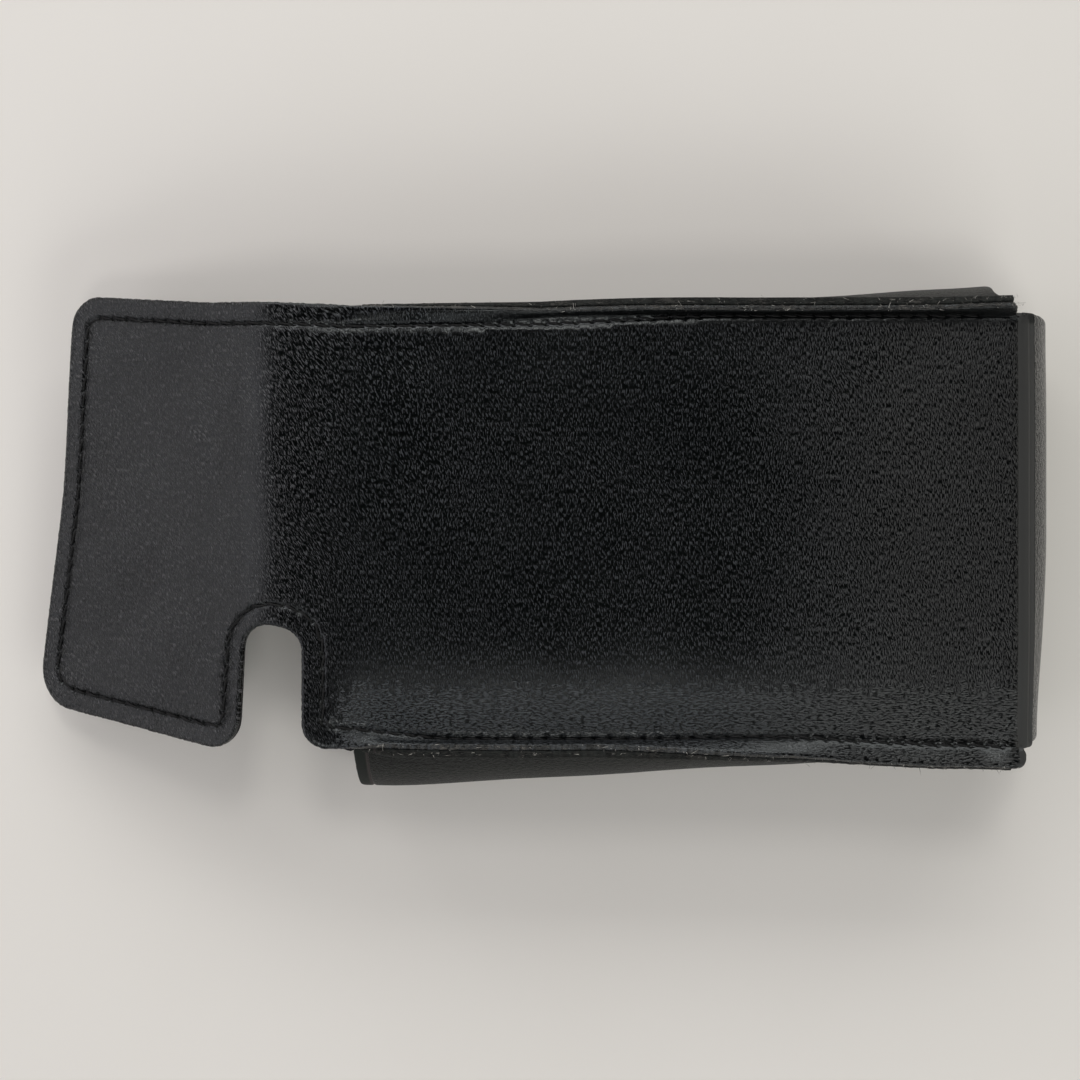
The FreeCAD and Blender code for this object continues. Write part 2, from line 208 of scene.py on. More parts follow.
def place(s, y, out):
    """Points of the hide in space: distance along it, across it, and out of its flesh side."""
    s, y, out = (np.asarray(v, float) for v in (s, y, out))
    side = np.where(y < 0, -1.0, 1.0)
    across = np.abs(y)
    angle = np.where(y < 0, stand_angle(s, -1), stand_angle(s, 1))
    angle = angle * np.where(across > 36.8, 1, smooth(s, end_s - 1.5, end_s + 0.6))
    root = root_at(angle, side)
    turned = root + valley * angle
    on_seam = np.minimum(across, root) * side
    rise = out + lift(s, on_seam)
    turn = np.clip((across - root) / valley, 0, angle)
    rest = np.where(across > turned, across - turned, 0)
    bent = across > root
    out_y = np.where(bent, root + (valley - out) * np.sin(turn) + rest * np.cos(angle), across)
    out_z = np.where(bent, valley - (valley - out) * np.cos(turn) + rest * np.sin(angle), out)
    out_z = out_z + (rise - out)
    ear = (across > 36.8) & (s < end_s)
    level = np.where(ear, end_s, s)
    x = np.interp(level, run_s, run_xz[:, 0]) + np.where(ear, end_s - s, 0)
    z = np.interp(level, run_s, run_xz[:, 1])
    tx = np.interp(level, run_s, run_tangent[:, 0])
    tz = np.interp(level, run_s, run_tangent[:, 1])
    length = np.hypot(tx, tz)
    x = x - 1.3 * smooth(-y, 0, 36) * smooth(fold_groove - s, 0, 4) * ~ear
    return np.column_stack([x + out_z * tz / length, side * out_y, z - out_z * tx / length])


def outline(corners, step):
    """Dense points round a flat pattern from its (s, y, radius) corners."""
    points = []
    count = len(corners)
    for i, (s, y, radius) in enumerate(corners):
        here = np.array([s, y])
        back = np.array(corners[i - 1][:2]) - here
        ahead = np.array(corners[(i + 1) % count][:2]) - here
        back = back / np.hypot(*back)
        ahead = ahead / np.hypot(*ahead)
        half = math.acos(np.clip(back @ ahead, -1, 1)) / 2
        if half > 1.57:
            points.append(here)
            continue
        reach = radius / math.tan(half)
        start, stop = here + back * reach, here + ahead * reach
        centre = here + (back + ahead) / np.hypot(*(back + ahead)) * radius / math.sin(half)
        first = start - centre
        last = stop - centre
        turn = math.atan2(first[0] * last[1] - first[1] * last[0], first @ last)
        pieces = max(int(abs(turn) * radius / step), 2)
        for k in range(pieces + 1):
            a = turn * k / pieces
            points.append(centre + [first[0] * math.cos(a) - first[1] * math.sin(a),
                                    first[0] * math.sin(a) + first[1] * math.cos(a)])
    points.append(points[0])
    return even(np.array(points), step)[:-1]


def inset_corners(corners, distance):
    """The pattern's corners moved in from every edge, as a stitch line runs."""
    count = len(corners)
    moved = []
    for i, (s, y, radius) in enumerate(corners):
        here = np.array([s, y])
        before = here - np.array(corners[i - 1][:2])
        after = np.array(corners[(i + 1) % count][:2]) - here
        before = before / np.hypot(*before)
        after = after / np.hypot(*after)
        cross = before[0] * after[1] - before[1] * after[0]
        inward = np.array([-before[1], before[0]]) + np.array([-after[1], after[0]])
        shift = inward * distance / (1 + before @ after)
        new_radius = radius - distance if cross > 0 else radius + distance
        moved.append((*(here + shift), max(new_radius, 0.7)))
    return moved


# The flat pattern, counter-clockwise: along the lower edge from the flap to the closed end, up,
# back along the upper edge, and round the flap's tip
flap_lower = -37.4
flap_upper = 37.9
edge_upper = seam_y + flange + 1.8
edge_lower = seam_y + flange + 1.0
wall_end_s = foot_s + 0.3
flap_corners = [
    (tip_s + 34.0, -30.4, 7.2),
    (tip_s + 28.6, 7.0, 40.0),
    (tip_s + 25.2, 41.5, 5.4),
    (24.0, 38.9, 20.0),
    (0.0, flap_upper, 14.0),
    (mouth_s - 30.0, 38.2, 20.0),
    (mouth_s - 60.0, edge_upper, 20.0),
]
end_corners = [
    (end_s + 0.4, edge_upper, 0.9),
    (end_s - 0.1, 36.9, 0.25),
    (end_s - 3.6, 36.5, 3.0),
    (end_s - 13.0, 36.3, 6.0),
    (wall_end_s, 36.0, 1.5),
    (wall_end_s, -35.0, 1.5),
    (end_s - 13.0, -35.8, 6.0),
    (end_s - 3.6, -36.3, 3.0),
    (end_s - 0.1, -36.9, 0.25),
    (end_s - 1.6, -37.2, 0.5),
    (end_s - 1.3, -edge_lower - 1.2, 1.5),
]
notch_corners = [
    (end_s + 14.0, -edge_lower - 1.0, 20.0),
    (end_s + 32.0, -edge_lower, 20.0),
    (mouth_s - 14.0, -edge_lower + 0.2, 12.0),
    (0.8, flap_lower + 0.7, 5.0),
    (7.0, flap_lower + 0.7, 4.3),
    (7.0, -17.0, 4.4),
    (16.8, -14.7, 4.4),
    (18.9, flap_lower - 0.4, 5.4),
]
hide_corners = flap_corners + end_corners + notch_corners
stitch_inset = 3.5
stitch_pitch = 2.8
stitch_corners = (flap_corners + [(end_s - 20.0, edge_upper, 1.0), (end_s - 20.0, -edge_lower - 1.6, 1.0)]
                  + notch_corners[:-2] + [(s - 0.7, y, radius) for s, y, radius in notch_corners[-2:]])


def edge_at(s, side):
    """How far out the pattern's long edges lie over the pouch."""
    line = flap_corners[4:] + end_corners[:1] if side > 0 else end_corners[-1:] + notch_corners[:4]
    places, across = zip(*sorted((corner[0], abs(corner[1])) for corner in line))
    return np.interp(s, places, across)


def nearest(points, targets):
    """Index of and distance to the closest target of every point."""
    tree = kdtree.KDTree(len(targets))
    for i, (s, y) in enumerate(targets):
        tree.insert((s, y, 0), i)
    tree.balance()
    found = [tree.find((s, y, 0)) for s, y in points]
    return np.array([f[1] for f in found]), np.array([f[2] for f in found])


def inward(loop):
    """Unit directions into a counter-clockwise loop at its points."""
    along = np.roll(loop, -1, axis=0) - np.roll(loop, 1, axis=0)
    along /= np.hypot(*along.T)[:, None]
    return np.column_stack([-along[:, 1], along[:, 0]])


def cut_loop(loop, low, high, step):
    """The part of a loop between two lines across the hide, and which points lie on a cut."""
    for limit, sign in ((low, 1), (high, -1)):
        if limit is None:
            continue
        kept = []
        for a, b in zip(loop, np.roll(loop, -1, axis=0)):
            inside_a, inside_b = sign * (a[0] - limit) >= 0, sign * (b[0] - limit) >= 0
            if inside_a:
                kept.append(a)
            if inside_a != inside_b:
                kept.append(a + (b - a) * (limit - a[0]) / (b[0] - a[0]))
        loop = np.array(kept)
    on_line = np.zeros(len(loop), bool)
    for limit in (low, high):
        if limit is not None:
            on_line |= np.abs(loop[:, 0] - limit) < 1e-9
    points, cut = [], []
    for i, (a, b) in enumerate(zip(loop, np.roll(loop, -1, axis=0))):
        points.append(a)
        cut.append(on_line[i])
        if on_line[i] and on_line[(i + 1) % len(loop)]:
            pieces = int(np.hypot(*(b - a)) / step)
            for k in range(1, pieces):
                points.append(a + (b - a) * k / pieces)
                cut.append(True)
    return np.array(points), np.array(cut)


def sheet(name, loop, cut, extra, step, top, bottom, placed=place, rim=0.09):
    """Closed mesh of a cut sheet: top and bottom give each face's height over the flesh side."""
    normals = inward(loop)
    rings = [loop[~cut] + normals[~cut] * d for d in (0.16, 0.45, 0.95)]
    low, high = loop.min(0), loop.max(0)
    grid = np.stack(np.meshgrid(np.arange(low[0] + step / 2, high[0], step),
                                np.arange(low[1] + step / 2, high[1], step)), -1).reshape(-1, 2)
    fixed = [line for line in extra if len(line)]
    inner = np.vstack(rings[1:] + fixed + [grid])
    index, distance = nearest(inner, loop)
    facing = np.einsum("ij,ij->i", inner - loop[index], normals[index])
    kind = np.concatenate([np.full(len(r), i) for i, r in enumerate(rings[1:] + fixed + [grid])])
    limits = [0.35, 0.8] + [0.5] * len(fixed) + [0.95 + 0.55 * step]
    good = (facing > 0) & (distance > np.array(limits)[kind])
    if fixed:
        lines = np.vstack(fixed)
        _, off = nearest(inner[kind == kind.max()], lines)
        good[kind == kind.max()] &= off > 0.5 * step
    points = np.vstack([loop, rings[0], inner[good]])
    count = len(loop)
    loop_edges = [(i, (i + 1) % count) for i in range(count)]
    verts, _, faces, origin, _, _ = geometry.delaunay_2d_cdt(
        [Vector(p) for p in points], loop_edges, [], 1, 1e-5)
    flat = np.array([v[:] for v in verts])
    original = [o[0] if o else -1 for o in origin]
    place_of = {o: i for i, o in enumerate(original) if o >= 0}
    border = [place_of[i] for i in range(count)]
    _, from_edge = nearest(flat, loop[~cut])
    dip = 0.16 * np.exp(-(from_edge / 0.2) ** 1.4)
    upper = placed(flat[:, 0], flat[:, 1], top(flat[:, 0], flat[:, 1]) - dip)
    under = placed(flat[:, 0], flat[:, 1], bottom(flat[:, 0], flat[:, 1]) + 0.4 * dip)
    walls = []
    out = np.where(cut, 0, -rim)[:, None] * normals
    ragged = np.random.default_rng(11)
    for share in (0.78, 0.5, 0.22):
        belly = out * (1.25 if share == 0.5 else 1.0) * ragged.uniform(0.3, 1.9, (count, 1))
        s, y = (loop + belly).T
        height = bottom(*loop.T) + share * (top(*loop.T) - bottom(*loop.T))
        walls.append(placed(s, y, height))
    total = len(flat)
    co = np.vstack([upper, under] + walls)
    mesh_faces = [tuple(f) for f in faces] + [tuple(v + total for v in f[::-1]) for f in faces]
    strips = [border] + [[2 * total + k * count + i for i in range(count)] for k in range(3)]
    strips.append([b + total for b in border])
    for first, second in zip(strips, strips[1:]):
        for i in range(count):
            j = (i + 1) % count
            mesh_faces.append((first[i], second[i], second[j], first[j]))
    pattern = np.zeros((len(co), 3))
    pattern[:total, :2] = pattern[total:2 * total, :2] = flat
    pattern[2 * total:, :2] = np.tile(loop, (3, 1))
    pattern[2 * total:, 2] = np.repeat([0.3, 0.6, 0.9], count)
    pattern[total:2 * total, 2] = 1.2
    rough = np.zeros(len(co))
    rough[2 * total:] = np.tile(np.where(cut, 0.0, 1.0), 3)
    both = [i for i in range(count) if cut[i] and cut[(i + 1) % count]]
    sharp = {frozenset((row[i], row[(i + 1) % count])) for row in (strips[0], strips[-1]) for i in both}
    return finish_mesh(name, co, mesh_faces, pattern, rough, sharp)


def finish_mesh(name, co, faces, pattern, rough, sharp=()):
    """A smooth-shaded object in metres that keeps its flat pattern and its raw edges."""
    mesh = bpy.data.meshes.new(name)
    mesh.from_pydata((np.asarray(co) * MM).tolist(), [], faces)
    flat = mesh.attributes.new("hide", "FLOAT_VECTOR", "POINT")
    flat.data.foreach_set("vector", np.asarray(pattern, np.float32).ravel())
    raw = mesh.attributes.new("raw_edge", "FLOAT", "POINT")
    raw.data.foreach_set("value", np.asarray(rough, np.float32))
    shaped = bmesh.new()
    shaped.from_mesh(mesh)
    bmesh.ops.recalc_face_normals(shaped, faces=shaped.faces)
    shaped.to_mesh(mesh)
    shaped.free()
    mesh.polygons.foreach_set("use_smooth", [True] * len(mesh.polygons))
    mesh.update()
    if sharp:
        for line in mesh.edges:
            line.use_edge_sharp = frozenset(line.vertices) in sharp
    piece = bpy.data.objects.new(name, mesh)
    bpy.context.scene.collection.objects.link(piece)
    return piece


def plain_mesh(name, verts, faces):
    """A finished mesh that has no flat pattern, such as thread."""
    co = np.array(verts)
    return finish_mesh(name, co, faces, np.zeros((len(co), 3)), np.zeros(len(co)))


SPLIT = 22.7                                 # the hide is divided here, inside the flap wall
STEP = 0.75
stitch_path = outline(inset_corners(stitch_corners, stitch_inset), 0.3)
stitch_path = stitch_path[stitch_path[:, 0] > end_s + 0.8]
gap_at = int(np.argmax(np.hypot(*np.diff(stitch_path, axis=0, append=stitch_path[:1]).T)))
stitch_path = np.roll(stitch_path, -gap_at - 1, axis=0)
stitch_run = np.concatenate([[0], np.cumsum(np.hypot(*np.diff(stitch_path, axis=0).T))])
random.seed(7)
hole_run = [1.0]
while hole_run[-1] < stitch_run[-1] - 2 * stitch_pitch:
    hole_run.append(hole_run[-1] + stitch_pitch * random.uniform(0.9, 1.1))
holes = np.column_stack([np.interp(hole_run, stitch_run, stitch_path[:, i]) for i in (0, 1)])
holes += np.array([[random.gauss(0, 0.05), random.gauss(0, 0.07)] for _ in holes])


def grain_height(s, y):
    """The grain side over the flesh side: stitch groove, needle holes and pressed fold."""
    points = np.column_stack([s, y])
    _, off = nearest(points, stitch_path)
    _, hole = nearest(points, holes)
    groove = 0.22 * np.exp(-(off / 0.30) ** 2) + 0.05 * np.exp(-(off / 1.0) ** 2)
    pit = 0.42 * np.exp(-(hole / 0.33) ** 2)
    fold = 0.40 * np.exp(-((s - fold_groove) / 0.26) ** 2)
    pressed = 0.10 * (smooth(s, band[0], band[0] + 0.3) - smooth(s, band[1] - 0.2, band[1]))
    return LEATHER - groove - pit - fold - pressed


def stitch_rows(low, high):
    """Lines beside the stitch line that carry the groove's shape."""
    part = stitch_path[(stitch_path[:, 0] > low + 0.6) & (stitch_path[:, 0] < high - 0.6)]
    along = np.gradient(part, axis=0)
    along /= np.maximum(np.hypot(*along.T)[:, None], 1e-9)
    across = np.column_stack([-along[:, 1], along[:, 0]])
    return [part + across * d for d in (0.0, 0.24, -0.24, 0.55, -0.55)]


def fold_rows():
    """Lines across the hide that carry the pressed band and the end fold's groove."""
    y = np.arange(-35.6, 35.8, 0.5)
    places = [fold_groove - 0.5, fold_groove - 0.25, fold_groove, fold_groove + 0.25, fold_groove + 0.5,
              band[1] - 0.25, band[1] + 0.1]
    return [np.column_stack([np.full(len(y), s), y]) for s in places]


class Shade:
    """A shader socket in a node tree, which takes part in sums."""

    def __init__(self, tree, socket=None):
        self.tree = tree
        self.socket = socket

    def node(self, kind, settings=None, inputs=None, output=0):
        """A node of a type, with its settings and inputs; gives one of its outputs."""
        made = self.tree.nodes.new(kind)
        for key, value in (settings or {}).items():
            setattr(made, key, value)
        for key, value in (inputs or {}).items():
            if isinstance(value, Shade):
                self.tree.links.new(value.socket, made.inputs[key])
            else:
                made.inputs[key].default_value = value
        return Shade(self.tree, made.outputs[output])

    def sum(self, operation, *others):
        """A maths node that takes this socket first."""
        return self.node("ShaderNodeMath", {"operation": operation},
                         dict(enumerate((self,) + others)))

    def __add__(self, other):
        return self.sum("ADD", other)

    __radd__ = __add__

    def __mul__(self, other):
        return self.sum("MULTIPLY", other)

    __rmul__ = __mul__

    def __sub__(self, other):
        return self.sum("SUBTRACT", other)

    def __rsub__(self, other):
        return self.node("ShaderNodeMath", {"operation": "SUBTRACT"}, {0: other, 1: self})

    def step(self, low, high, start=0.0, stop=1.0):
        """Eased step from start at low to stop at high."""
        return self.node("ShaderNodeMapRange", {"interpolation_type": "SMOOTHSTEP"},
                         {"Value": self, "From Min": low, "From Max": high,
                          "To Min": start, "To Max": stop})

    def clamp(self):
        """This socket held between 0 and 1."""
        return self.node("ShaderNodeClamp", {}, {"Value": self})


def material(name):
    """A new material with its tree's start and its surface shader."""
    made = bpy.data.materials.new(name)
    made.use_nodes = True
    tree = made.node_tree
    surface = tree.nodes["Principled BSDF"]
    return made, Shade(tree), surface


def feed(surface, **inputs):
    """Links or sets the surface shader's sockets by name, with _ for a space."""
    for key, value in inputs.items():
        socket = surface.inputs[key.replace("_", " ")]
        if isinstance(value, Shade):
            value.tree.links.new(value.socket, socket)
        else:
            socket.default_value = value


def mixed(start, factor, first, second):
    """A colour between two others, each a socket or plain red, green and blue."""
    first, second = (c if isinstance(c, Shade) else (*c, 1) for c in (first, second))
    return start.node("ShaderNodeMix", {"data_type": "RGBA"},
                      {"Factor": factor, "A": first, "B": second}, output=2)


def noise(where, scale, detail, roughness=0.5, output=0):
    """Fractal noise at a place."""
    return where.node("ShaderNodeTexNoise", {}, {"Vector": where, "Scale": scale, "Detail": detail,
                                                 "Roughness": roughness}, output)


def strokes(start, where, across, along, level):
    """Short raised strokes of grain, of a size across and along the hide; less at a high level."""
    scaled = start.node("ShaderNodeVectorMath", {"operation": "MULTIPLY"},
                        {0: where, 1: (1 / across, 1 / along, 1.0)})
    ridges = noise(scaled, 1.0, 1.5, 0.6)
    return ((ridges - level) * 5.5).clamp()


def leather_material(name, tone, zones, edge_colour, band_and_highlight_tone, depth=0.000045,
                     gloss=0.20, shine=0.35):
    """Black grained leather. zones gives, from a place on the hide: pressed, sideways, rounded,
    band_and_highlight, relief, painted_end_light, coarse, painted_flange_shade and pale (painted sheen)."""
    made, start, surface = material(name)
    flat = start.node("ShaderNodeAttribute", {"attribute_name": "hide"}, output=1)
    along = start.node("ShaderNodeSeparateXYZ", {}, {"Vector": flat})
    across = Shade(along.tree, along.socket.node.outputs[1])
    sway = noise(flat, 0.05, 1.0)
    lean = along.step(-20.0, 12.0) * 0.3 + 0.1
    leaning = start.node("ShaderNodeCombineXYZ", {}, {"X": along - across * lean + sway * 5.0,
                                                      "Y": across})
    drift = noise(flat, 0.6, 2.0, output=1)
    drift = start.node("ShaderNodeVectorMath", {"operation": "MULTIPLY_ADD"},
                       {0: drift, 1: (0.35, 0.35, 0.0), 2: leaning})
    patch = noise(flat, 0.045, 3.0)
    pressed, sideways, rounded, band_and_highlight, relief, painted_end_light, coarse, painted_flange_shade, pale = zones(along, across, patch)
    spread = noise(flat, 0.8, 1.0) - 0.5
    sideways = (sideways + spread * 1.4).step(0.42, 0.58)
    long_grain = strokes(start, drift, 0.16, 0.80, 0.525 - rounded * 0.08)
    low_grain = strokes(start, drift, 0.85, 0.26, 0.43)
    big_grain = strokes(start, flat, 0.85, 0.75, 0.38)
    grain = long_grain * (1 - sideways) + low_grain * sideways
    grain = grain * (1 - coarse) + big_grain * coarse
    # seam_line weights the painted shade along the stitch valley and smooths the grain there.
    seam = start.node("ShaderNodeAttribute", {"attribute_name": "seam_line"}, output=2)
    drawn = start.node("ShaderNodeVectorMath", {"operation": "MULTIPLY"}, {0: flat, 1: (1.0, 0.28, 1.0)})
    fine = noise(drawn, 3.2, 3.0, 0.6)
    soft = noise(flat, 0.55, 2.0)
    raw = start.node("ShaderNodeAttribute", {"attribute_name": "raw_edge"}, output=2)
    strands = start.node("ShaderNodeVectorMath", {"operation": "MULTIPLY"},
                         {0: flat, 1: (0.9, 2.0, 4.5)})
    fuzz = noise(strands, 1.3, 4.0, 0.75)
    flecks = noise(flat, 0.22, 2.0)
    raw = (raw * 1.5).clamp() * (fuzz.step(0.4, 0.7) * 0.45 + (fuzz * flecks).step(0.27, 0.36) * 0.7)
    raw = (raw * edge_colour[1](along)).clamp()
    height = (grain + fine * 0.45 + soft * 0.4) * (1 - pressed * 0.9) * (1 - seam * 0.8) * relief
    height = height + raw * fuzz * 2.0
    bump = start.node("ShaderNodeBump", {}, {"Strength": 1.0, "Distance": depth,
                                             "Height": height})
    wear = patch.step(0.35, 0.7)
    colour = mixed(start, wear, tone[0], tone[1])
    # Painted light: the back panel is painted lighter grey toward the closed end.
    colour = mixed(start, painted_end_light, colour, (0.036, 0.036, 0.036))
    # Painted sheen: the flap is painted paler grey, standing in for the window light its slope reflects.
    colour = mixed(start, pale, colour, (0.085, 0.083, 0.090))
    # Painted shade: the grain's hollows are painted near black, where shade falls in them.
    crease = (1 - grain) * (1 - pressed)
    # Painted shade: the stitch valley along the seams is painted near black.
    crease = crease + seam - crease * seam
    # Painted shade: the standing flanges' inner faces along the pouch are painted near black.
    crease = crease + painted_flange_shade * 0.85 - crease * painted_flange_shade * 0.85
    colour = mixed(start, crease, colour, (0.0004, 0.0005, 0.0006))
    colour = mixed(start, raw, colour, edge_colour[0])
    # The hide's pressed band gets a flat grey; the channel gets a painted highlight along its hot crease
    # line.
    colour = mixed(start, band_and_highlight, colour, band_and_highlight_tone)
    gloss = gloss + (patch - 0.5) * 0.1 + raw * 0.5 + pressed * 0.25
    feed(surface, Base_Color=colour, Roughness=gloss.clamp(), Normal=bump,
         Specular_IOR_Level=shine, Specular_Tint=(0.94, 1.0, 1.03, 1.0))
    return made


def hide_zones(along, across, patch):
    """Where the hide is pressed, drawn sideways, round, set to the band's tone, deep, painted lighter
    toward the closed end, coarse, painted with shade on the flanges' inner faces, or painted pale as a
    sheen on the flap.
    """
    pressed = along.step(band[0] - 1.3, band[0] - 0.8) * along.step(band[1], band[1] - 0.3)
    sideways = (across + patch * 3.0).step(-20.0, -30.0) * along.step(6.0, -4.0)
    rounded = (along * -1 + patch * 16.0).step(66.0, 106.0) + along.step(8.0, 22.0) * 0.4
    # The pressed band beside the end fold is set to a flat grey.
    band_and_highlight = along.step(band[0] - 0.1, band[0] + 0.1) * along.step(band[1], band[1] - 0.3)
    wall = along.step(band[0] - 0.8, band[0] - 1.3)
    relief = (wall * 5.0 + along.step(-12.0, 8.0) * 0.7 + along.step(12.0, 18.0) * 1.8 + 1
              - across.step(-seam_y, -seam_y - 1.0) * 0.4)
    # Painted light: lighter grey toward the closed end, standing in for light falling on the panel there.
    painted_end_light = (along * -1 + patch * 16.0).step(60.0, 108.0)
    # Painted shade: the inner faces of the standing flanges, where shade falls between flange and panel.
    upright = across.step(seam_y - 0.4, seam_y + 0.3) * along.step(mouth_s - 14.0, mouth_s - 28.0)
    # Painted sheen: the flap, from the first fold on, is painted pale.
    pale = along.step(-6.0, 20.0)
    return pressed, sideways, rounded.clamp(), band_and_highlight * 0.8, relief, painted_end_light, wall, upright, pale


def seam_edges(along):
    """How much of the raw edge is left pale: the pinched seams, not the flap."""
    return along.step(mouth_s + 1.0, mouth_s - 2.0) * 0.85 + 0.15


hide_tones = ((0.025, 0.028, 0.032), (0.038, 0.041, 0.046))
hide_leather = leather_material("hide_leather", hide_tones, hide_zones,
                                ((0.085, 0.08, 0.074), seam_edges), (0.025, 0.025, 0.025))


def mark_seam(piece):
    """How near each point of the hide is to its line of stitches, widest along the pouch: the weight of the
    shade painted in the stitch valley, which also smooths the grain there.
    """
    flat = np.zeros(len(piece.data.vertices) * 3, np.float32)
    piece.data.attributes["hide"].data.foreach_get("vector", flat)
    flat = flat.reshape(-1, 3)
    _, off = nearest(flat[:, :2], stitch_path)
    width = 0.40 + 0.55 * smooth(-flat[:, 0], -mouth_s + 2, -mouth_s + 22)
    line = piece.data.attributes.new("seam_line", "FLOAT", "POINT")
    line.data.foreach_set("value", (0.9 * np.exp(-(off / width) ** 2)).astype(np.float32))


hide_loop = outline(hide_corners, 0.42)
back_loop, back_cut = cut_loop(hide_loop, None, SPLIT, 0.42)
hide_back = sheet("back_hide", back_loop, back_cut,
                  stitch_rows(end_s, SPLIT) + fold_rows(), STEP,
                  grain_height, lambda s, y: 0 * s)
tip_loop, tip_cut = cut_loop(hide_loop, SPLIT, None, 0.42)
hide_tip = sheet("flap_hide", tip_loop, tip_cut, stitch_rows(SPLIT, 70), STEP,
                 grain_height, lambda s, y: 0 * s)
bend = 3.0                                   # leather each side of a fold that takes part in it


def fold_blend(piece):
    """Bakes the placement of a piece that crosses the first fold into its mesh; it is not bent here."""
    (fold_x + bend - 0.3) * MM
    fold_z * MM
    (fold_x - bend) * MM
    fold_z * MM
    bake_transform(piece)


def tip_blend(piece):
    """Bakes the placement of a piece that crosses the second fold into its mesh; it is not bent here."""
    dx, dz = bend * math.cos(bow_angle), bend * math.sin(bow_angle)
    (tip_fold_x + dx) * MM
    (tip_fold_z + dz) * MM
    (tip_fold_x - dx) * MM
    (tip_fold_z - dz) * MM
    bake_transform(piece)


for piece, blended, nodes in ((hide_back, fold_blend, ("back_leather", "flap_wall_leather")),
                              (hide_tip, tip_blend, ("flap_tip_leather",))):
    piece.data.materials.append(hide_leather)
    mark_seam(piece)
    blended(piece)
    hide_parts(*nodes)

# ---------------------------------------------------------------------------------------------
# The channel: one piece of the same leather folded into the front panel and both side walls.
# Its long edges are pinched to the hide's, its far end is stitched under the end wall, and its
# mouth edge is cut clean and creased with a hot tool.
# ---------------------------------------------------------------------------------------------
skew_mouth = -4.7                            # the empty front has slumped sideways, at the mouth
skew_end = 3.7                               # and at the closed end
front_half = seam_y - 2.0
WALL_POINTS = 44
mouth_lean = 1.6                             # the slumped wall's mouth edge reaches out this far
crease_in = 2.2                              # the hot crease line lies this far in from it


def skew_at(x):
    """How far the front has slumped sideways at x."""
    share = (x - mouth_x) / (end_x - mouth_x)
    return skew_mouth + (skew_end - skew_mouth) * max(share, 0.0) ** 1.25


def fixed_count(points, count):
    """The run resampled to a number of points."""
    gaps = np.hypot(*np.diff(points, axis=0).T)
    run = np.concatenate([[0], np.cumsum(gaps)])
    at = np.linspace(0, run[-1], count)
    return np.column_stack([np.interp(at, run, points[:, i]) for i in (0, 1)])


def half_section(x, side):
    """Flesh side of half the channel at x, in Y and Z: flange tip, seam, wall, flat front."""
    s = np.array([fold_x - x])
    angle = float(stand_angle(s, side)[0])
    root = float(root_at(angle, side))
    base_z = flesh_z + float(lift(s, np.array([side * root]))[0])
    start = (root + valley * math.sin(angle), base_z + valley * (1 - math.cos(angle)))
    length = float(edge_at(s, side)[0]) + 0.1 - (root + valley * angle)
    tip = (start[0] + length * math.cos(angle), start[1] + length * math.sin(angle))
    skew = side * skew_at(x) + (0.7 if side < 0 else -0.4 - 0.9 * smooth(x, 44, 26))
    high = (seam_y + 0.6 * skew + 5.2, 0.72 * base_z)
    low = (skew + front_half + 9.6, LEATHER)
    foot = (skew + front_half + 1.0, LEATHER)
    top = (max(start[0], root + 0.9), base_z - 0.5)
    wall = np.vstack([curve_points(top, high, low, foot, 60), foot])
    sag = 0.15 * math.sin(x * 0.075 + side) + 0.1 * math.sin(x * 0.19 + 2 * side)
    t = np.linspace(0, 1, len(wall))
    wall[:, 0] += sag * np.sin(math.pi * t) ** 2
    both = np.vstack([fixed_count(np.array([tip, start]), 9)[:-1], fixed_count(wall, WALL_POINTS)])
    fixed = np.arange(len(both)) < 5
    both = soften(both, 5, fixed)
    middle = side * skew_at(x)
    flat = np.column_stack([np.linspace(foot[0], middle, 30)[1:], np.full(29, LEATHER)])
    return np.vstack([both, flat]) * [side, 1]


def channel_ends(y, z):
    """First and last x of the channel at a place round its section."""
    drop = np.clip((flesh_z - z) / flesh_z, 0, 1)
    first = mouth_x - mouth_lean * smooth(-y, 28, 37) * smooth(drop, 0.0, 0.15)
    last = end_x - 0.6 - y * end_tilt * drop * 1.1
    under = smooth(z, 4.0, 1.3) * smooth(np.abs(y - skew_end), front_half + 1.5, front_half - 1.0)
    last = last + under * (foot_x + flange + 0.2 - last)
    corner = smooth(drop, 0.05, 0.3) * (1 - under) * 1.2
    return first, last - corner * smooth(drop, 0.5, 0.12)


def channel_grid(columns):
    """Flesh and grain faces of the channel as grids of points, and its flat pattern."""
    flesh, grain, pattern = [], [], []
    middle = np.vstack([half_section(0.0, -1), half_section(0.0, 1)[::-1][1:]])
    first, last = channel_ends(middle[:, 0], middle[:, 1])
    for share in columns:
        xs = first + share * (last - first)
        rows = []
        cached = {}
        for j, x in enumerate(xs):
            key = round(float(np.clip(x, mouth_x - 3, end_x)) * 4) / 4
            if key not in cached:
                cached[key] = np.vstack([half_section(key, -1), half_section(key, 1)[::-1][1:]])
            rows.append(cached[key][j])
        section = np.array(rows)
        tangent = np.gradient(section, axis=0)
        tangent /= np.hypot(*tangent.T)[:, None]
        out = np.column_stack([tangent[:, 1], -tangent[:, 0]])
        from_mouth = share * (last - first)
        crease = 0.25 * np.exp(-((from_mouth - crease_in) / 0.20) ** 2)
        thick = LEATHER - crease - 0.18 * np.exp(-(from_mouth / 0.25) ** 1.5)
        outer = soften(section + out * thick[:, None], 3, np.abs(section[:, 1] - LEATHER) < 0.3)
        run = np.concatenate([[0], np.cumsum(np.hypot(*np.diff(section, axis=0).T))])
        flesh.append(np.column_stack([xs, section]))
        grain.append(np.column_stack([xs, outer]))
        pattern.append(np.column_stack([from_mouth, run - run[-1] / 2, np.zeros(len(xs))]))
    return np.array(flesh), np.array(grain), np.array(pattern)


